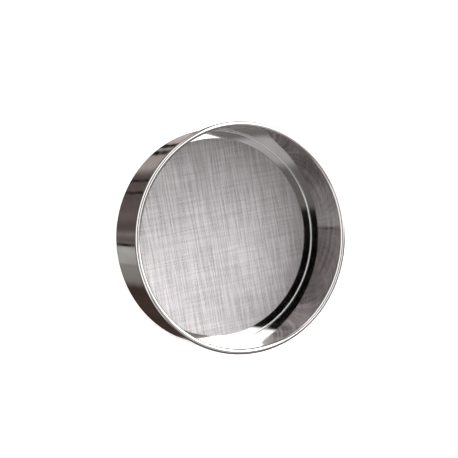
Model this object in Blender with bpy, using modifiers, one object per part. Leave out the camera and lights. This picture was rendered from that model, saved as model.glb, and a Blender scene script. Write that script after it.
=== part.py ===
"""Soil sieve: a stainless drum with a wired rim, a woven wire cloth and a nesting foot ring.

Metres, +Z up. The origin is the centre of the foot ring's lower edge, so the sieve
stands on z = 0. Every piece is a body of revolution about Z.
"""
import math

import bmesh
import bpy
from mathutils import Vector

# Driving dimensions ---------------------------------------------------------
INSIDE_RADIUS = 0.100        # inside of the drum wall: a 200 mm sieve
DRUM_HEIGHT = 0.060          # underside of the drum's lip to the top of its rim
SHEET = 0.0007               # stainless sheet of the drum and the foot ring
BEAD_RADIUS = 0.0025         # outside radius of the rolled rim
BEND_RADIUS = 0.0010         # inside radius of the bends in the sheet
LIP_WIDTH = 0.0030           # how far the drum's lower lip is turned in, from the wall
LEDGE_WIDTH = 0.0076         # how far the press ring covers the cloth, from the wall
SEAT_SETBACK = 0.0005        # the foot ring's seat stops this far behind the press ring
CLOTH_THICKNESS = 0.00063    # two wires of the woven cloth, one over the other
PRESS_RING_THICKNESS = 0.0006
SOLDER_LEG = 0.0008          # width of the solder fillet, between press ring and wall
SOLDER_LIP = 0.00015         # thickness of the fillet at its thin upper edge
FOOT_HEIGHT = 0.0050         # how far the foot ring reaches below the drum
NEST_CLEARANCE = 0.0015      # foot ring to the inside wall of the sieve below it
GAP = 0.0003                 # clearance between neighbouring pieces

# Fineness of the turned shapes ----------------------------------------------
SEGMENTS = 72                # steps of every full turn
ARC_STEP = math.radians(20)  # longest step along an arc of a profile
WIRE_SIDES = 10              # sides of the rim wire

# Sizes that follow ----------------------------------------------------------
LIP_BOTTOM = FOOT_HEIGHT
LIP_TOP = LIP_BOTTOM + SHEET
LIP_INNER_RADIUS = INSIDE_RADIUS - LIP_WIDTH
DRUM_TOP = LIP_BOTTOM + DRUM_HEIGHT
BEAD_CENTRE_RADIUS = INSIDE_RADIUS + BEAD_RADIUS
BEAD_CENTRE_Z = DRUM_TOP - BEAD_RADIUS
BORE_RADIUS = BEAD_RADIUS - SHEET
FOOT_TOP = LIP_BOTTOM - GAP
FOOT_OUTER_RADIUS = INSIDE_RADIUS - NEST_CLEARANCE
CLOTH_BOTTOM = FOOT_TOP + GAP
CLOTH_TOP = CLOTH_BOTTOM + CLOTH_THICKNESS
CLOTH_RADIUS = LIP_INNER_RADIUS - GAP
RING_BOTTOM = max(CLOTH_TOP, LIP_TOP) + GAP
RING_TOP = RING_BOTTOM + PRESS_RING_THICKNESS
RING_INNER_RADIUS = INSIDE_RADIUS - LEDGE_WIDTH
SOLDER_OUTER_RADIUS = INSIDE_RADIUS - GAP
SOLDER_INNER_RADIUS = SOLDER_OUTER_RADIUS - SOLDER_LEG
RING_OUTER_RADIUS = SOLDER_INNER_RADIUS - GAP
SEAT_INNER_RADIUS = RING_INNER_RADIUS + SEAT_SETBACK

COLLECTION_NAME = "soil_sieve"

# Finishes: colour, metallic, roughness --------------------------------------
POLISHED_STEEL = ((0.55, 0.53, 0.51), 1.0, 0.08)
DRAWN_WIRE = ((0.50, 0.50, 0.49), 1.0, 0.25)
WOVEN_CLOTH = ((0.46, 0.46, 0.45), 1.0, 0.40)
SOFT_SOLDER = ((0.62, 0.62, 0.62), 1.0, 0.20)


def clear_scene():
    """Remove every object and every collection that nothing needs."""
    for obj in list(bpy.data.objects):
        bpy.data.objects.remove(obj, do_unlink=True)
    for collection in list(bpy.data.collections):
        bpy.data.collections.remove(collection)


def part_collection():
    """Return the collection that holds the sieve's pieces."""
    collection = bpy.data.collections.new(COLLECTION_NAME)
    bpy.context.scene.collection.children.link(collection)
    return collection


def finish_material(name, finish):
    """Return a Principled material of one colour, metallic value and roughness."""
    colour, metallic, roughness = finish
    material = bpy.data.materials.new(name)
    material.use_nodes = True
    shader = material.node_tree.nodes["Principled BSDF"]
    shader.inputs["Base Color"].default_value = (*colour, 1.0)
    shader.inputs["Metallic"].default_value = metallic
    shader.inputs["Roughness"].default_value = roughness
    return material


def arc(centre, radius, start, end):
    """Points of an arc about (r, z), from one angle to another, both ends included.

    Angles are in radians, 0 points away from the axis and a quarter turn points up.
    """
    steps = max(1, math.ceil(abs(end - start) / ARC_STEP))
    points = []
    for step in range(steps + 1):
        angle = start + (end - start) * step / steps
        points.append((centre[0] + radius * math.cos(angle), centre[1] + radius * math.sin(angle)))
    return points


def turned_piece(name, outline, finish, collection):
    """Turn a closed (r, z) outline about Z with a Screw modifier.

    The outline runs down its outer side and up its inner side, so the faces point out.
    """
    outline_mesh = bmesh.new()
    verts = [outline_mesh.verts.new(Vector((r, 0.0, z))) for r, z in outline]
    for first, second in zip(verts, verts[1:] + verts[:1]):
        outline_mesh.edges.new((first, second))
    mesh = bpy.data.meshes.new(name)
    outline_mesh.to_mesh(mesh)
    outline_mesh.free()
    piece = bpy.data.objects.new(name, mesh)
    collection.objects.link(piece)
    screw = piece.modifiers.new("turn", "SCREW")
    screw.axis = "Z"
    screw.angle = math.tau
    screw.steps = SEGMENTS
    screw.render_steps = SEGMENTS
    screw.use_merge_vertices = True
    screw.merge_threshold = 0.00001
    screw.use_smooth_shade = True
    mesh.materials.append(finish_material(name + "_finish", finish))
    return piece


def make_drum(collection):
    """Rolled drum: wall, rim curled outwards over the wire, lip turned in at the bottom."""
    bead = (BEAD_CENTRE_RADIUS, BEAD_CENTRE_Z)
    # The curl stops a clearance short of the wall, which leaves the roll open below.
    curl_end = -math.acos((GAP - BORE_RADIUS) / BEAD_RADIUS)
    bend = (INSIDE_RADIUS - BEND_RADIUS, LIP_TOP + BEND_RADIUS)
    outline = arc(bead, BEAD_RADIUS, math.pi, curl_end)
    outline += arc(bead, BORE_RADIUS, curl_end, math.pi)
    outline += arc(bend, BEND_RADIUS + SHEET, 0.0, -math.pi / 2)
    outline.append((LIP_INNER_RADIUS, LIP_BOTTOM))
    outline.append((LIP_INNER_RADIUS, LIP_TOP))
    outline += arc(bend, BEND_RADIUS, -math.pi / 2, 0.0)
    return turned_piece("drum", outline, POLISHED_STEEL, collection)


def make_rim_wire(collection):
    """Steel wire that the rim is rolled round, which keeps the drum circular."""
    bpy.ops.mesh.primitive_torus_add(
        major_radius=BEAD_CENTRE_RADIUS,
        minor_radius=BORE_RADIUS - GAP,
        major_segments=SEGMENTS,
        minor_segments=WIRE_SIDES,
        location=(0.0, 0.0, BEAD_CENTRE_Z),
    )
    wire = bpy.context.object
    wire.name = "rim_wire"
    for holder in list(wire.users_collection):
        holder.objects.unlink(wire)
    collection.objects.link(wire)
    wire.data.shade_smooth()
    wire.data.materials.append(finish_material("rim_wire_finish", DRAWN_WIRE))
    return wire


def make_mesh_cloth(collection):
    """Woven wire cloth, as a thin disc whose border lies between foot ring and press ring."""
    cloth_mesh = bmesh.new()
    bmesh.ops.create_cone(
        cloth_mesh,
        cap_ends=True,
        segments=SEGMENTS,
        radius1=CLOTH_RADIUS,
        radius2=CLOTH_RADIUS,
        depth=CLOTH_THICKNESS,
    )
    mesh = bpy.data.meshes.new("mesh_cloth")
    cloth_mesh.to_mesh(mesh)
    cloth_mesh.free()
    cloth = bpy.data.objects.new("mesh_cloth", mesh)
    cloth.location.z = (CLOTH_BOTTOM + CLOTH_TOP) / 2
    collection.objects.link(cloth)
    mesh.materials.append(finish_material("mesh_cloth_finish", WOVEN_CLOTH))
    return cloth


def make_press_ring(collection):
    """Flat ring that presses the border of the cloth onto the foot ring's seat."""
    outline = [
        (RING_OUTER_RADIUS, RING_TOP),
        (RING_OUTER_RADIUS, RING_BOTTOM),
        (RING_INNER_RADIUS, RING_BOTTOM),
        (RING_INNER_RADIUS, RING_TOP),
    ]
    return turned_piece("press_ring", outline, POLISHED_STEEL, collection)


def make_solder_fillet(collection):
    """Solder that fills the corner outside the press ring and rises up the wall in a hollow."""
    hollow_radius = SOLDER_LEG - SOLDER_LIP
    hollow = (SOLDER_INNER_RADIUS, RING_TOP + hollow_radius)
    bend = (INSIDE_RADIUS - BEND_RADIUS, LIP_TOP + BEND_RADIUS)
    outline = [(SOLDER_OUTER_RADIUS, RING_TOP + hollow_radius)]
    outline += arc(bend, BEND_RADIUS - GAP, 0.0, -math.pi / 2)
    outline.append((SOLDER_INNER_RADIUS, LIP_TOP + GAP))
    outline += arc(hollow, hollow_radius, -math.pi / 2, 0.0)
    return turned_piece("solder_fillet", outline, SOFT_SOLDER, collection)


def make_foot_ring(collection):
    """Angle ring under the drum: it seats the cloth, and nests in the sieve below."""
    bend = (FOOT_OUTER_RADIUS - SHEET - BEND_RADIUS, FOOT_TOP - SHEET - BEND_RADIUS)
    outline = arc(bend, SHEET + BEND_RADIUS, math.pi / 2, 0.0)
    outline.append((FOOT_OUTER_RADIUS, 0.0))
    outline.append((FOOT_OUTER_RADIUS - SHEET, 0.0))
    outline += arc(bend, BEND_RADIUS, 0.0, math.pi / 2)
    outline.append((SEAT_INNER_RADIUS, FOOT_TOP - SHEET))
    outline.append((SEAT_INNER_RADIUS, FOOT_TOP))
    return turned_piece("foot_ring", outline, POLISHED_STEEL, collection)


def main():
    clear_scene()
    collection = part_collection()
    make_drum(collection)
    make_rim_wire(collection)
    make_mesh_cloth(collection)
    make_press_ring(collection)
    make_solder_fillet(collection)
    make_foot_ring(collection)


main()
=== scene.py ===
import math

import bpy
import numpy as np
from mathutils import Matrix, Vector


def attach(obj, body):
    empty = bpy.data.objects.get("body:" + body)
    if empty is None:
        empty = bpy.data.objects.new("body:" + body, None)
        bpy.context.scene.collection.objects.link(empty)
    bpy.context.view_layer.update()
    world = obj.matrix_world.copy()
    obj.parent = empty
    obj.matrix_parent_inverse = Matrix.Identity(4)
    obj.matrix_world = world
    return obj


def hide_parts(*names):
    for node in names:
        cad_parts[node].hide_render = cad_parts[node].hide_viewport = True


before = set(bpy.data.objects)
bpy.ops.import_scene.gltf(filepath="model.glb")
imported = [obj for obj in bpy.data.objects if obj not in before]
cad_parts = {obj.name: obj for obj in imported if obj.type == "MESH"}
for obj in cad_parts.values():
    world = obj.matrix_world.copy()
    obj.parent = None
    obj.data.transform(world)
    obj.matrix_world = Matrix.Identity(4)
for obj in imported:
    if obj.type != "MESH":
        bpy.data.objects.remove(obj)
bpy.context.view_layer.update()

bl_info = {
    "name": "Soil Sieve",
    "version": (1, 0, 0),
    "blender": (4, 5, 0),
    "location": "3D Viewport > Sidebar > Sieve",
    "description": "Builds a stainless soil sieve with a rolled rim and a woven wire cloth",
    "category": "Add Mesh",
}

BODY = "root"
MM = 0.001


def node_span(node, above=-math.inf):
    """Return a turned node's inner and outer radius and its lowest and highest z."""
    points = [v.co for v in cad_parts[node].data.vertices if v.co.z > above]
    radii = [math.hypot(p.x, p.y) for p in points]
    heights = [p.z for p in points]
    return min(radii), max(radii), min(heights), max(heights)


# Radii are from the sieve's axis, heights from what it stands on.
LIP_INNER, _, LIP_BOTTOM, RIM_TOP = node_span("drum")
INSIDE_RADIUS = node_span("drum", above=(LIP_BOTTOM + RIM_TOP) / 2)[0]
WIRE_INNER, WIRE_OUTER, _, _ = node_span("rim_wire")
RING_INNER, RING_OUTER, RING_BOTTOM, RING_TOP = node_span("press_ring")
SOLDER_TOP = node_span("solder_fillet")[3]
SEAT_INNER, FOOT_OUTER, FOOT_BOTTOM, FOOT_TOP = node_span("foot_ring")
CLOTH_BOTTOM, CLOTH_TOP = node_span("mesh_cloth")[2:]
# The rim is rolled round the middle of its wire, from the inside of the wall.
BEAD_RADIUS = (WIRE_INNER + WIRE_OUTER) / 2 - INSIDE_RADIUS
BEAD_CENTRE = (INSIDE_RADIUS + BEAD_RADIUS, RIM_TOP - BEAD_RADIUS)

# Steps along the turned outlines.
BEND_STEPS = 8
BEAD_STEPS = 36
WALL_STEPS = 12
HOLLOW_STEPS = 12
WIRE_STEPS = 20
CURL_END = -math.radians(125)      # the rim's curl stops here, short of the wall
SHARP_ANGLE = math.radians(50)     # edges that turn more than this are cut edges

# The cloth.
CLOTH_WIRE_SIDES = 4               # hundreds of wires stay light
CLOTH_BORDER = RING_INNER + 2 * MM  # the border reaches a little way under the press ring
SPACING_ERROR = 0.07               # how unevenly the wires lie, in pitches
CLOTH_WAVE = 0.15 * MM             # a stretched cloth still has long shallow waves
CLOTH_WAVE_X = 23 * MM             # a wave goes on by a radian in this distance along x
CLOTH_WAVE_Y = 31 * MM             # and in this along y
CLOTH_WAVE_SHIFT = 1.0             # in radians, so that no crest lies on the axis
WIRE_SLOTS = 512                   # more than the wires of one direction
WIRE_SEED = 7
TEXTURE_MARGIN = 1.05              # room round the cloth in its texture map


def srgb(hex_colour):
    """Turn an sRGB hex colour into linear red, green and blue."""
    channels = [((hex_colour >> shift) & 255) / 255 for shift in (16, 8, 0)]
    return tuple(c / 12.92 if c <= 0.04045 else ((c + 0.055) / 1.055) ** 2.4 for c in channels)


# --- settings -----------------------------------------------------------------


class SieveSizes(bpy.types.PropertyGroup):
    """Sizes that a user would change."""

    sheet: bpy.props.FloatProperty(
        name="Sheet", description="Thickness of the stainless sheet", default=0.7 * MM, unit="LENGTH"
    )
    bend: bpy.props.FloatProperty(
        name="Bend", description="Inside radius of the bends", default=1.0 * MM, unit="LENGTH"
    )
    edge: bpy.props.FloatProperty(
        name="Edge", description="Rounding of cut edges", default=0.12 * MM, unit="LENGTH"
    )
    steps: bpy.props.IntProperty(
        name="Steps", description="Steps of a full turn", default=240, min=24
    )
    cloth_pitch: bpy.props.FloatProperty(
        name="Pitch",
        description="Distance between the cloth's wires: 0.5 mm openings",
        default=0.815 * MM,
        unit="LENGTH",
    )
    cloth_wire: bpy.props.FloatProperty(
        name="Wire", description="Diameter of the cloth's wires", default=0.315 * MM, unit="LENGTH"
    )
    cloth_angle: bpy.props.FloatProperty(
        name="Weave angle",
        description="Turn of the cloth in the drum",
        default=math.radians(12.0),
        subtype="ANGLE",
    )


class SieveColours(bpy.types.PropertyGroup):
    """Colours of the finishes."""

    steel: bpy.props.FloatVectorProperty(
        name="Steel", description="Polished sheet", subtype="COLOR", default=srgb(0xC8C5C4)
    )
    cloth: bpy.props.FloatVectorProperty(
        name="Cloth", description="Woven wires", subtype="COLOR", default=srgb(0xF0EAED)
    )
    solder: bpy.props.FloatVectorProperty(
        name="Solder", description="Wiped solder", subtype="COLOR", default=srgb(0xD6D6D6)
    )
    floor: bpy.props.FloatVectorProperty(
        name="Floor", description="Studio floor", subtype="COLOR", default=srgb(0xF4F4F3)
    )


def sizes():
    return bpy.context.scene.sieve_sizes


def colours():
    return bpy.context.scene.sieve_colours


# --- modelling ----------------------------------------------------------------


def deselect_all():
    if bpy.context.mode != "OBJECT":
        bpy.ops.object.mode_set(mode="OBJECT")
    bpy.ops.object.select_all(action="DESELECT")


def arc(centre, radius, start, end, steps):
    """Points of an arc about (r, z); angle 0 points away from the axis, a quarter turn up."""
    angles = [start + (end - start) * i / steps for i in range(steps + 1)]
    return [(centre[0] + radius * math.cos(a), centre[1] + radius * math.sin(a)) for a in angles]


def apply_modifier(piece, kind, **settings):
    """Add one modifier to the active piece, set it and apply it."""
    modifier = piece.modifiers.new(kind.lower(), kind)
    for key, value in settings.items():
        setattr(modifier, key, value)
    bpy.ops.object.modifier_apply(modifier=modifier.name)


def turned_surface(name, outline, closed=False):
    """Extrude a circle from point to point of an (r, z) outline, as a lathe or a roller would."""
    deselect_all()
    radius, height = outline[0]
    bpy.ops.mesh.primitive_circle_add(vertices=sizes().steps, radius=radius, location=(0, 0, height))
    bpy.ops.object.transform_apply(location=True, rotation=True, scale=True)
    piece = bpy.context.object
    piece.name = name
    piece.data.name = name
    bpy.ops.object.mode_set(mode="EDIT")
    bpy.ops.mesh.select_all(action="SELECT")
    route = outline + outline[:1] if closed else outline
    for (r0, z0), (r1, z1) in zip(route, route[1:]):
        bpy.ops.mesh.extrude_region_move(TRANSFORM_OT_translate={"value": (0, 0, z1 - z0)})
        bpy.ops.transform.resize(value=(r1 / r0, r1 / r0, 1), center_override=(0, 0, z1))
    bpy.ops.mesh.select_all(action="SELECT")
    bpy.ops.mesh.remove_doubles(threshold=0.001 * MM)
    bpy.ops.mesh.normals_make_consistent(inside=False)
    bpy.ops.object.mode_set(mode="OBJECT")
    return piece


def smooth(piece):
    """Shade a piece smooth between its cut edges, and keep its flat and straight walls true."""
    bpy.ops.object.shade_smooth_by_angle(angle=SHARP_ANGLE)
    apply_modifier(piece, "WEIGHTED_NORMAL", mode="FACE_AREA", weight=100, keep_sharp=True)


def soften(piece, radius):
    """Round a closed piece's cut edges, then shade it smooth."""
    apply_modifier(
        piece, "BEVEL", width=radius, segments=2, limit_method="ANGLE", angle_limit=SHARP_ANGLE
    )
    smooth(piece)


def rounded_sheet(piece):
    """Give an open surface the sheet's thickness and round its cut edges."""
    apply_modifier(piece, "SOLIDIFY", thickness=sizes().sheet, offset=0.0, use_even_offset=True)
    soften(piece, sizes().edge)


def coordinates(mesh):
    """Return a mesh's vertices as an array with a row of x, y, z for each."""
    co = np.empty(len(mesh.vertices) * 3, np.float32)
    mesh.vertices.foreach_get("co", co)
    return co.reshape(-1, 3)


def finish_piece(piece, material, node):
    """Paint a piece, put it on the sieve's body and let it stand for its CAD node."""
    piece.data.materials.clear()
    piece.data.materials.append(material)
    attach(piece, BODY)
    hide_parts(node)


# --- materials ----------------------------------------------------------------


def add_node(tree, kind, settings=None, **inputs):
    """Add a shader node, set it and link it.

    An input is named by its socket's name, with _ for a space, or by i and its number.
    Its value is a constant, or another node's output socket.
    """
    node = tree.nodes.new(kind)
    for key, value in (settings or {}).items():
        setattr(node, key, value)
    for key, value in inputs.items():
        numbered = key[1:].isdigit()
        socket = node.inputs[int(key[1:]) if numbered else key.replace("_", " ")]
        if isinstance(value, bpy.types.NodeSocket):
            tree.links.new(value, socket)
        else:
            socket.default_value = value
    return node


def new_material(name):
    """Return a material with an empty tree, its Principled shader and its Object coordinates."""
    material = bpy.data.materials.new(name)
    material.use_nodes = True
    tree = material.node_tree
    tree.nodes.clear()
    output = tree.nodes.new("ShaderNodeOutputMaterial")
    shader = tree.nodes.new("ShaderNodeBsdfPrincipled")
    tree.links.new(shader.outputs["BSDF"], output.inputs["Surface"])
    place = tree.nodes.new("ShaderNodeTexCoord").outputs["Object"]
    return material, tree, shader, place


def polished_stainless():
    """304 stainless sheet, rolled and mirror-polished on a wheel while it turns.

    It mirrors its surroundings, a little softened by hairlines that run round the drum.
    The drum and both rings share it.
    """
    name = "mirror_polished_304_stainless"
    if name in bpy.data.materials:
        return bpy.data.materials[name]
    material, tree, shader, place = new_material(name)
    xyz = add_node(tree, "ShaderNodeSeparateXYZ", i0=place)
    level = add_node(tree, "ShaderNodeCombineXYZ", i0=xyz.outputs[0], i1=xyz.outputs[1])
    radius = add_node(tree, "ShaderNodeVectorMath", {"operation": "LENGTH"}, i0=level.outputs[0])
    profile = add_node(
        tree, "ShaderNodeCombineXYZ", i0=radius.outputs["Value"], i1=xyz.outputs[2]
    )
    # Polishing hairlines are about 0.05 mm apart; they are drawn at 0.8 mm, to show at all.
    hairlines = add_node(
        tree, "ShaderNodeTexNoise", Vector=profile.outputs[0], Scale=1 / (0.8 * MM), Detail=3.0
    )
    # The rolled sheet is never quite true: waves of about 30 mm bend what it mirrors.
    waves = add_node(tree, "ShaderNodeTexNoise", Vector=place, Scale=1 / (30 * MM), Detail=1.0)
    wavy = add_node(
        tree, "ShaderNodeBump", Height=waves.outputs["Fac"], Strength=0.35, Distance=0.4 * MM
    )
    surface = add_node(
        tree,
        "ShaderNodeBump",
        Height=hairlines.outputs["Fac"],
        Strength=0.12,
        Distance=0.01 * MM,
        Normal=wavy.outputs[0],
    )
    # Smudges from handling, 15 mm wide, dull the polish and darken it by up to a tenth.
    smudges = add_node(tree, "ShaderNodeTexNoise", Vector=place, Scale=1 / (15 * MM), Detail=4.0)
    dullness = add_node(
        tree,
        "ShaderNodeMapRange",
        Value=smudges.outputs["Fac"],
        From_Min=0.35,
        From_Max=0.75,
        To_Min=0.05,
        To_Max=0.12,
    )
    tint = add_node(
        tree,
        "ShaderNodeMix",
        {"data_type": "RGBA"},
        Factor=smudges.outputs["Fac"],
        i6=(*colours().steel, 1.0),
        i7=(*[c * 0.9 for c in colours().steel], 1.0),
    )
    tree.links.new(tint.outputs[2], shader.inputs["Base Color"])
    tree.links.new(dullness.outputs[0], shader.inputs["Roughness"])
    tree.links.new(surface.outputs[0], shader.inputs["Normal"])
    shader.inputs["Metallic"].default_value = 1.0
    return material


def drawn_wire():
    """Bright stainless wire, drawn through a die: patches of 2 mm shine more or less."""
    material, tree, shader, place = new_material("bright_drawn_stainless_wire")
    patches = add_node(tree, "ShaderNodeTexNoise", Vector=place, Scale=1 / (2 * MM), Detail=3.0)
    dullness = add_node(
        tree, "ShaderNodeMapRange", Value=patches.outputs["Fac"], To_Min=0.2, To_Max=0.4
    )
    tree.links.new(dullness.outputs[0], shader.inputs["Roughness"])
    shader.inputs["Base Color"].default_value = (*colours().steel, 1.0)
    shader.inputs["Metallic"].default_value = 1.0
    return material


def woven_wire(name, across, contrast):
    """Stainless wire of a plain-woven cloth, annealed, so it shines softly.

    Wires from different parts of the coil differ a little, which shows as faint lines
    along them. across is the cloth's own axis, 0 or 1, that those lines are stacked on,
    and contrast is how much darker than the brightest wires the darkest are.
    """
    material, tree, shader, place = new_material(name)
    turned = add_node(
        tree, "ShaderNodeMapping", Vector=place, Rotation=(0, 0, -sizes().cloth_angle)
    )
    # Lines of unlike wires are about 1.5 mm wide and 45 mm long.
    stretch = [1 / (45 * MM)] * 3
    stretch[across] = 1 / (1.5 * MM)
    stretched = add_node(
        tree, "ShaderNodeVectorMath", {"operation": "MULTIPLY"}, i0=turned.outputs[0], i1=stretch
    )
    lines = add_node(
        tree, "ShaderNodeTexNoise", Vector=stretched.outputs[0], Scale=1.0, Detail=2.0
    )
    shade = add_node(
        tree,
        "ShaderNodeMapRange",
        Value=lines.outputs["Fac"],
        From_Min=0.38,
        From_Max=0.62,
        To_Min=1.0 - contrast,
        To_Max=1.0,
    )
    tint = add_node(
        tree,
        "ShaderNodeVectorMath",
        {"operation": "SCALE"},
        i0=tuple(colours().cloth),
        Scale=shade.outputs[0],
    )
    tree.links.new(tint.outputs[0], shader.inputs["Base Color"])
    shader.inputs["Metallic"].default_value = 1.0
    shader.inputs["Roughness"].default_value = 0.36
    return material


def wiped_solder():
    """Lead-free solder, wiped smooth while hot: bright, with shallow ripples of 4 mm."""
    material, tree, shader, place = new_material("wiped_lead_free_solder")
    ripples = add_node(tree, "ShaderNodeTexNoise", Vector=place, Scale=1 / (4 * MM), Detail=2.0)
    surface = add_node(
        tree, "ShaderNodeBump", Height=ripples.outputs["Fac"], Strength=0.3, Distance=0.1 * MM
    )
    dullness = add_node(
        tree, "ShaderNodeMapRange", Value=ripples.outputs["Fac"], To_Min=0.12, To_Max=0.3
    )
    tree.links.new(surface.outputs[0], shader.inputs["Normal"])
    tree.links.new(dullness.outputs[0], shader.inputs["Roughness"])
    shader.inputs["Base Color"].default_value = (*colours().solder, 1.0)
    shader.inputs["Metallic"].default_value = 1.0
    return material


def opal_acrylic():
    """Opal acrylic of a light table, cast with a fine grain, that glows evenly.

    Its glow is masked under the sieve and dimmed there to a painted shade, so that no light comes up
    through the cloth.
    """
    material, tree, shader, place = new_material("opal_acrylic_light_table")
    # The cast surface has a grain of about 3 mm, too shallow to show as more than a sheen.
    grain = add_node(tree, "ShaderNodeTexNoise", Vector=place, Scale=1 / (3 * MM), Detail=2.0)
    surface = add_node(
        tree, "ShaderNodeBump", Height=grain.outputs["Fac"], Strength=0.05, Distance=0.1 * MM
    )
    # Painted shade: the glow falls across the foot ring from 0.6 round the sieve to 0.1 under it.
    from_axis = add_node(tree, "ShaderNodeVectorMath", {"operation": "LENGTH"}, i0=place)
    glow = add_node(
        tree,
        "ShaderNodeMapRange",
        Value=from_axis.outputs["Value"],
        From_Min=SEAT_INNER,
        From_Max=FOOT_OUTER,
        To_Min=0.1,
        To_Max=0.6,
    )
    tree.links.new(surface.outputs[0], shader.inputs["Normal"])
    tree.links.new(glow.outputs[0], shader.inputs["Emission Strength"])
    shader.inputs["Base Color"].default_value = (*colours().floor, 1.0)
    shader.inputs["Emission Color"].default_value = (*colours().floor, 1.0)
    shader.inputs["Roughness"].default_value = 0.9
    return material


# --- pieces -------------------------------------------------------------------


class SIEVE_OT_drum(bpy.types.Operator):
    """Roll the drum: lip, bend, wall and the rim curled over its wire"""

    bl_idname = "sieve.drum"
    bl_label = "Drum"

    def execute(self, context):
        half = sizes().sheet / 2
        bend = (INSIDE_RADIUS - sizes().bend, LIP_BOTTOM + sizes().sheet + sizes().bend)
        outline = [(LIP_INNER, LIP_BOTTOM + half)]
        outline += arc(bend, sizes().bend + half, -math.pi / 2, 0.0, BEND_STEPS)
        wall_radius, wall_from = outline[-1]
        step = (BEAD_CENTRE[1] - wall_from) / WALL_STEPS
        outline += [(wall_radius, wall_from + step * i) for i in range(1, WALL_STEPS)]
        outline += arc(BEAD_CENTRE, BEAD_RADIUS - half, math.pi, CURL_END, BEAD_STEPS)
        piece = turned_surface("drum_shell", outline)
        rounded_sheet(piece)
        finish_piece(piece, polished_stainless(), "drum")
        return {"FINISHED"}


class SIEVE_OT_rim_wire(bpy.types.Operator):
    """Lay the wire that the rim is rolled round"""

    bl_idname = "sieve.rim_wire"
    bl_label = "Rim wire"

    def execute(self, context):
        radius = (WIRE_OUTER - WIRE_INNER) / 2
        outline = arc(BEAD_CENTRE, radius, 0.0, -math.tau, WIRE_STEPS)[:-1]
        piece = turned_surface("rim_wire_bright", outline, closed=True)
        bpy.ops.object.shade_smooth()
        finish_piece(piece, drawn_wire(), "rim_wire")
        return {"FINISHED"}


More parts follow.
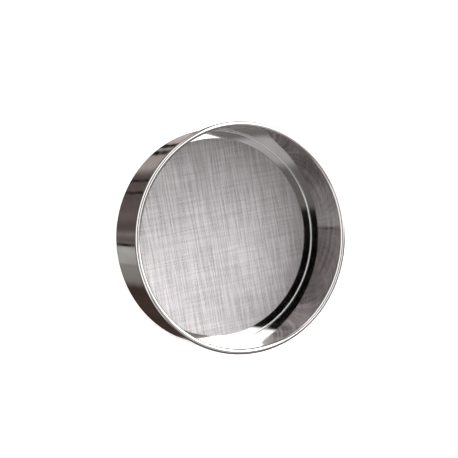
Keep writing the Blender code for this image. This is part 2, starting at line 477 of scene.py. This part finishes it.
class SIEVE_OT_cloth(bpy.types.Operator):
    """Weave the wire cloth: warp wires one way and weft wires across them"""

    bl_idname = "sieve.cloth"
    bl_label = "Wire cloth"

    def execute(self, context):
        warp = woven_wire("woven_stainless_warp", 0, 0.4)
        weft = woven_wire("woven_stainless_weft", 1, 0.85)
        for half, side in (("a", -1), ("b", 1)):
            self.weave("cloth_warp_" + half, side, 0.0, 1.0, warp)
            self.weave("cloth_weft_" + half, side, math.pi / 2, -1.0, weft)
        return {"FINISHED"}

    def weave(self, name, side, turn, over, material):
        """Make half of the wires of one direction: two unlike neighbours, copied side by side.

        side is -1 or 1 for the half on either side of the axis, turn is the wires' direction
        from the warp's, and over is 1 where the first wire starts high and -1 where low.
        """
        pitch = sizes().cloth_pitch
        radius = sizes().cloth_wire / 2
        half_count = math.ceil(CLOTH_BORDER / pitch / 2) * 2
        first = -half_count * pitch if side < 0 else 0.0
        deselect_all()
        bpy.ops.mesh.primitive_circle_add(
            vertices=CLOTH_WIRE_SIDES,
            radius=radius,
            location=(first, -half_count * pitch, over * radius),
            rotation=(math.pi / 2, 0, 0),
            fill_type="NGON",
        )
        bpy.ops.object.transform_apply(location=True, rotation=True, scale=True)
        piece = bpy.context.object
        piece.name = name
        piece.data.name = name
        bpy.ops.object.mode_set(mode="EDIT")
        bpy.ops.mesh.select_all(action="SELECT")
        rise = -2 * over * radius
        for _ in range(2 * half_count):
            bpy.ops.mesh.extrude_region_move(TRANSFORM_OT_translate={"value": (0, pitch, rise)})
            rise = -rise
        # The next wire goes under where this one goes over.
        bpy.ops.mesh.select_all(action="SELECT")
        bpy.ops.mesh.duplicate_move(TRANSFORM_OT_translate={"value": (pitch, 0, 0)})
        bpy.ops.transform.resize(value=(1, 1, -1), center_override=(0, 0, 0))
        bpy.ops.mesh.select_all(action="SELECT")
        bpy.ops.mesh.normals_make_consistent(inside=False)
        bpy.ops.object.mode_set(mode="OBJECT")
        apply_modifier(
            piece,
            "ARRAY",
            count=half_count // 2,
            use_relative_offset=False,
            use_constant_offset=True,
            constant_offset_displace=(2 * pitch, 0, 0),
        )
        self.trim(piece)
        self.settle(piece, pitch, turn)
        self.unfold(piece)
        bpy.ops.object.shade_smooth()
        finish_piece(piece, material, "mesh_cloth")

    def trim(self, piece):
        """Cut the square of wires to a round and close the cut ends."""
        bpy.ops.object.mode_set(mode="EDIT")
        bpy.ops.mesh.select_mode(type="VERT")
        bpy.ops.mesh.select_all(action="DESELECT")
        bpy.ops.object.mode_set(mode="OBJECT")
        co = coordinates(piece.data)
        outside = np.hypot(co[:, 0], co[:, 1]) > CLOTH_BORDER
        piece.data.vertices.foreach_set("select", outside)
        bpy.ops.object.mode_set(mode="EDIT")
        bpy.ops.mesh.delete(type="VERT")
        bpy.ops.mesh.select_all(action="SELECT")
        bpy.ops.mesh.fill_holes(sides=CLOTH_WIRE_SIDES)
        bpy.ops.object.mode_set(mode="OBJECT")

    def settle(self, piece, pitch, turn):
        """Turn the wires to their direction and let the spacing and the flatness vary a little."""
        x, y, z = coordinates(piece.data).astype(float).T
        x, y = self.turned(x, y, turn)
        rng = np.random.default_rng(WIRE_SEED)
        offsets = rng.normal(0.0, SPACING_ERROR * pitch, (2, WIRE_SLOTS))
        column = np.rint(x / pitch).astype(int) + WIRE_SLOTS // 2
        row = np.rint(y / pitch).astype(int) + WIRE_SLOTS // 2
        x, y = x + offsets[0][column], y + offsets[1][row]
        z = z + CLOTH_WAVE * np.sin(x / CLOTH_WAVE_X + CLOTH_WAVE_SHIFT) * np.cos(y / CLOTH_WAVE_Y)
        x, y = self.turned(x, y, sizes().cloth_angle)
        z = z + (CLOTH_BOTTOM + CLOTH_TOP) / 2
        settled = np.stack((x, y, z), axis=1).astype(np.float32)
        piece.data.vertices.foreach_set("co", settled.ravel())
        piece.data.update()

    def turned(self, x, y, angle):
        """Return x and y turned about the axis."""
        cos, sin = math.cos(angle), math.sin(angle)
        return x * cos - y * sin, x * sin + y * cos

    def unfold(self, piece):
        """Lay the wires' texture map out flat, as seen from above: islands would be too many."""
        mesh = piece.data
        corners = np.empty(len(mesh.loops), np.int32)
        mesh.loops.foreach_get("vertex_index", corners)
        flat = coordinates(mesh)[corners, :2] / (2 * TEXTURE_MARGIN * CLOTH_BORDER) + 0.5
        mesh.uv_layers.new(name="OFBake").data.foreach_set("uv", flat.ravel())


class SIEVE_OT_press_ring(bpy.types.Operator):
    """Turn the flat ring that holds the cloth's border down"""

    bl_idname = "sieve.press_ring"
    bl_label = "Press ring"

    def execute(self, context):
        outline = [
            (RING_OUTER, RING_TOP),
            (RING_OUTER, RING_BOTTOM),
            (RING_INNER, RING_BOTTOM),
            (RING_INNER, RING_TOP),
        ]
        piece = turned_surface("press_ring_polished", outline, closed=True)
        # The polishing wheel leaves this ring's edges crisper than the sheet's.
        soften(piece, sizes().edge / 4)
        finish_piece(piece, polished_stainless(), "press_ring")
        return {"FINISHED"}


class SIEVE_OT_solder(bpy.types.Operator):
    """Run the hollow solder fillet into the corner outside the press ring"""

    bl_idname = "sieve.solder"
    bl_label = "Solder fillet"

    def execute(self, context):
        lip_top = LIP_BOTTOM + sizes().sheet
        bend = (INSIDE_RADIUS - sizes().bend, lip_top + sizes().bend)
        hollow_radius = SOLDER_TOP - RING_TOP
        hollow = (INSIDE_RADIUS - sizes().edge - hollow_radius, SOLDER_TOP)
        outline = [(INSIDE_RADIUS, SOLDER_TOP)]
        outline += arc(bend, sizes().bend, 0.0, -math.pi / 2, BEND_STEPS)
        outline.append((RING_OUTER, lip_top))
        outline.append((RING_OUTER, RING_TOP))
        outline += arc(hollow, hollow_radius, -math.pi / 2, 0.0, HOLLOW_STEPS)
        piece = turned_surface("solder_fillet_wiped", outline, closed=True)
        smooth(piece)
        finish_piece(piece, wiped_solder(), "solder_fillet")
        return {"FINISHED"}


class SIEVE_OT_foot_ring(bpy.types.Operator):
    """Bend the angle ring that seats the cloth and nests in the sieve below"""

    bl_idname = "sieve.foot_ring"
    bl_label = "Foot ring"

    def execute(self, context):
        half = sizes().sheet / 2
        inset = sizes().sheet + sizes().bend
        bend = (FOOT_OUTER - inset, FOOT_TOP - inset)
        outline = [(SEAT_INNER, FOOT_TOP - half)]
        outline += arc(bend, sizes().bend + half, math.pi / 2, 0.0, BEND_STEPS)
        outline.append((FOOT_OUTER - half, FOOT_BOTTOM))
        piece = turned_surface("foot_ring_rolled", outline)
        rounded_sheet(piece)
        finish_piece(piece, polished_stainless(), "foot_ring")
        return {"FINISHED"}


# --- stage --------------------------------------------------------------------

# The floor sweeps up into a round backdrop.
FLOOR_RADIUS = 3.0
FLOOR_SWEEP = 1.0
SWEEP_STEPS = 12
BACKDROP_HEIGHT = 2.0
TABLE_RADIUS = 0.5
HUB_RADIUS = 0.02

# What the steel mirrors. Compass angles are from +Y towards +X. Each panel is: compass,
# width, elevation, height and softness in degrees, then its colour and its strength.
# A panel lies over the ones before it, and the room shows where there is none.
ROOM_COLOUR = 0xA09E9A
STUDIO_PANELS = {
    "dark side": (226, 156, 63, 32, 8, 0x0A0909, 1.0),
    "front fill": (195, 120, 30, 28, 10, 0xFFFFFF, 2.2),
    "side fill": (72, 48, 58, 40, 16, 0xFFFFFF, 1.0),
    "key softbox": (-35, 68, 52, 66, 6, 0xFFFFFF, 3.5),
    "window": (-50, 60, 34, 30, 8, 0xFFFFFF, 10.0),
    "overhead softbox": (0, 360, 90, 30, 6, 0xFFFFFF, 1.5),
    "front reflector": (190, 150, 10, 18, 10, 0xFFFFFF, 2.0),
    "dark doorway": (40, 150, -6, 30, 26, 0x2A2624, 1.0),
    "table": (0, 360, -58, 70, 14, 0x6C6260, 1.0),
    "table near": (16, 44, -64, 40, 16, 0xE8E2DE, 1.0),
    "table left": (84, 104, -64, 40, 16, 0x483A36, 1.0),
    "table glow": (146, 46, -64, 40, 12, 0x9C9894, 1.0),
    "table sheet": (156, 20, -64, 40, 2, 0xBEBCBA, 1.0),
    "table seam": (168, 3, -64, 40, 2, 0x141212, 1.0),
    "table edge": (228, 3, -64, 40, 2, 0x141212, 1.0),
    "table rail": (243, 3, -64, 40, 2, 0x141212, 1.0),
    "table far": (293, 78, -64, 40, 14, 0xBCB2AE, 1.0),
    "table leg": (284, 8, -64, 40, 3, 0x0C0A0A, 1.0),
    "table end": (297, 8, -64, 40, 3, 0x0C0A0A, 1.0),
}
# The table is mottled in a band of elevations, all in degrees. The patches' size is in
# radians, and their colour is scaled from dark to light.
MOTTLE_ELEVATION, MOTTLE_HALF, MOTTLE_SOFTNESS = -56, 37, 10
MOTTLE_SIZE = 1 / 9
MOTTLE_DARK, MOTTLE_LIGHT = 0.62, 1.3

# The camera looks down into the drum, from a distance to the middle of the rim. Right
# and up are its own directions, and say how far that lies from the middle of the view.
VIEW_ELEVATION = math.radians(64.604)
VIEW_ROLL = math.radians(91.39)
VIEW_DISTANCE = 1.2639
VIEW_RIGHT = 0.0141
VIEW_UP = -0.0080
LENS = 110.6                       # in mm, as is the width of the sensor
SENSOR_WIDTH = 36.0


class SIEVE_OT_stage(bpy.types.Operator):
    """Set the floor, the studio's light and the camera"""

    bl_idname = "sieve.stage"
    bl_label = "Stage"

    def execute(self, context):
        self.make_floor()
        self.make_studio()
        self.make_camera()
        bpy.context.scene.view_settings.view_transform = "Standard"
        return {"FINISHED"}

    def make_floor(self):
        """Pale light table that sweeps up into a round backdrop."""
        outline = [(HUB_RADIUS, 0.0), (TABLE_RADIUS, 0.0), (FLOOR_RADIUS, 0.0)]
        outline += arc((FLOOR_RADIUS, FLOOR_SWEEP), FLOOR_SWEEP, -math.pi / 2, 0.0, SWEEP_STEPS)[1:]
        outline.append((FLOOR_RADIUS + FLOOR_SWEEP, FLOOR_SWEEP + BACKDROP_HEIGHT))
        piece = turned_surface("studio_floor", outline)
        bpy.ops.object.mode_set(mode="EDIT")
        bpy.ops.mesh.fill_holes(sides=sizes().steps)
        bpy.ops.object.mode_set(mode="OBJECT")
        bpy.ops.object.shade_smooth()
        piece.data.materials.append(opal_acrylic())
        # The polished steel mirrors the studio's panels and not the floor under it.
        piece.visible_glossy = False
        piece.visible_diffuse = False
        piece.visible_shadow = False

    def make_studio(self):
        """Soft surroundings, panel over panel, with a mottled table below."""
        world = bpy.data.worlds.new("studio")
        bpy.context.scene.world = world
        world.use_nodes = True
        tree = world.node_tree
        tree.nodes.clear()
        output = tree.nodes.new("ShaderNodeOutputWorld")
        background = tree.nodes.new("ShaderNodeBackground")
        tree.links.new(background.outputs[0], output.inputs["Surface"])
        direction = tree.nodes.new("ShaderNodeTexCoord").outputs["Generated"]
        height = add_node(tree, "ShaderNodeSeparateXYZ", i0=direction).outputs[2]
        rise = add_node(tree, "ShaderNodeMath", {"operation": "ARCSINE"}, i0=height).outputs[0]
        colour = (*srgb(ROOM_COLOUR), 1.0)
        for compass, width, elevation, tall, soft, tone, strength in STUDIO_PANELS.values():
            bearing = self.bearing(tree, direction, compass)
            beside = self.band(tree, bearing, 0.0, width / 2, soft)
            above = self.band(tree, rise, elevation, tall / 2, soft)
            inside = add_node(
                tree, "ShaderNodeMath", {"operation": "MULTIPLY"}, i0=beside, i1=above
            )
            shade = (*[c * strength for c in srgb(tone)], 1.0)
            covered = add_node(
                tree,
                "ShaderNodeMix",
                {"data_type": "RGBA"},
                Factor=inside.outputs[0],
                i6=colour,
                i7=shade,
            )
            colour = covered.outputs[2]
        patches = add_node(
            tree, "ShaderNodeTexNoise", Vector=direction, Scale=1 / MOTTLE_SIZE, Detail=3.0
        )
        depth = add_node(
            tree,
            "ShaderNodeMapRange",
            Value=patches.outputs["Fac"],
            From_Min=0.3,
            From_Max=0.7,
            To_Min=MOTTLE_DARK,
            To_Max=MOTTLE_LIGHT,
        )
        mottled = add_node(
            tree, "ShaderNodeVectorMath", {"operation": "SCALE"}, i0=colour, Scale=depth.outputs[0]
        )
        below = self.band(tree, rise, MOTTLE_ELEVATION, MOTTLE_HALF, MOTTLE_SOFTNESS)
        final = add_node(
            tree,
            "ShaderNodeMix",
            {"data_type": "RGBA"},
            Factor=below,
            i6=colour,
            i7=mottled.outputs[0],
        )
        tree.links.new(final.outputs[2], background.inputs["Color"])

    def bearing(self, tree, direction, compass):
        """Return how far a direction lies to the side of a compass angle, in radians."""
        turned = add_node(
            tree,
            "ShaderNodeVectorRotate",
            {"rotation_type": "Z_AXIS"},
            Vector=direction,
            Angle=math.radians(compass),
        )
        xyz = add_node(tree, "ShaderNodeSeparateXYZ", i0=turned.outputs[0])
        side = add_node(
            tree, "ShaderNodeMath", {"operation": "ARCTAN2"}, i0=xyz.outputs[0], i1=xyz.outputs[1]
        )
        return side.outputs[0]

    def band(self, tree, angle, centre, half, soft):
        """Return 1 inside a band of angles, falling softly to 0 outside it."""
        shifted = add_node(
            tree, "ShaderNodeMath", {"operation": "SUBTRACT"}, i0=angle, i1=math.radians(centre)
        )
        size = add_node(tree, "ShaderNodeMath", {"operation": "ABSOLUTE"}, i0=shifted.outputs[0])
        fade = add_node(
            tree,
            "ShaderNodeMapRange",
            {"interpolation_type": "SMOOTHSTEP"},
            Value=size.outputs[0],
            From_Min=math.radians(half - soft / 2),
            From_Max=math.radians(half + soft / 2),
            To_Min=1.0,
            To_Max=0.0,
        )
        return fade.outputs[0]

    def make_camera(self):
        """Look down into the drum from in front, with the camera rolled on its side."""
        back = Vector((0, -math.cos(VIEW_ELEVATION), math.sin(VIEW_ELEVATION)))
        level_up = Vector((0, math.sin(VIEW_ELEVATION), math.cos(VIEW_ELEVATION)))
        level_right = Vector((1, 0, 0))
        right = level_right * math.cos(VIEW_ROLL) + level_up * math.sin(VIEW_ROLL)
        up = level_up * math.cos(VIEW_ROLL) - level_right * math.sin(VIEW_ROLL)
        rim_centre = Vector((0, 0, RIM_TOP))
        place = rim_centre - right * VIEW_RIGHT - up * VIEW_UP + back * VIEW_DISTANCE
        deselect_all()
        bpy.ops.object.camera_add(location=place)
        camera = bpy.context.object
        turn = Matrix((right, up, back)).transposed().to_4x4()
        camera.matrix_world = Matrix.Translation(place) @ turn
        camera.data.lens = LENS
        camera.data.sensor_width = SENSOR_WIDTH
        camera.data.clip_start = 0.05
        bpy.context.scene.camera = camera


class SIEVE_PT_panel(bpy.types.Panel):
    """The sieve's tab in the sidebar"""

    bl_idname = "SIEVE_PT_panel"
    bl_label = "Soil sieve"
    bl_space_type = "VIEW_3D"
    bl_region_type = "UI"
    bl_category = "Sieve"

    def draw(self, context):
        for operator in OPERATORS:
            self.layout.operator(operator.bl_idname)
        for group in (context.scene.sieve_sizes, context.scene.sieve_colours):
            for name in type(group).__annotations__:
                self.layout.prop(group, name)


OPERATORS = (
    SIEVE_OT_drum,
    SIEVE_OT_rim_wire,
    SIEVE_OT_cloth,
    SIEVE_OT_press_ring,
    SIEVE_OT_solder,
    SIEVE_OT_foot_ring,
    SIEVE_OT_stage,
)
CLASSES = (SieveSizes, SieveColours, *OPERATORS, SIEVE_PT_panel)


def register():
    for cls in CLASSES:
        bpy.utils.register_class(cls)
    bpy.types.Scene.sieve_sizes = bpy.props.PointerProperty(type=SieveSizes)
    bpy.types.Scene.sieve_colours = bpy.props.PointerProperty(type=SieveColours)


def unregister():
    del bpy.types.Scene.sieve_colours
    del bpy.types.Scene.sieve_sizes
    for cls in reversed(CLASSES):
        bpy.utils.unregister_class(cls)


def main():
    register()
    bpy.ops.sieve.drum()
    bpy.ops.sieve.rim_wire()
    bpy.ops.sieve.cloth()
    bpy.ops.sieve.press_ring()
    bpy.ops.sieve.solder()
    bpy.ops.sieve.foot_ring()
    bpy.ops.sieve.stage()


if __name__ == "__main__":
    main()
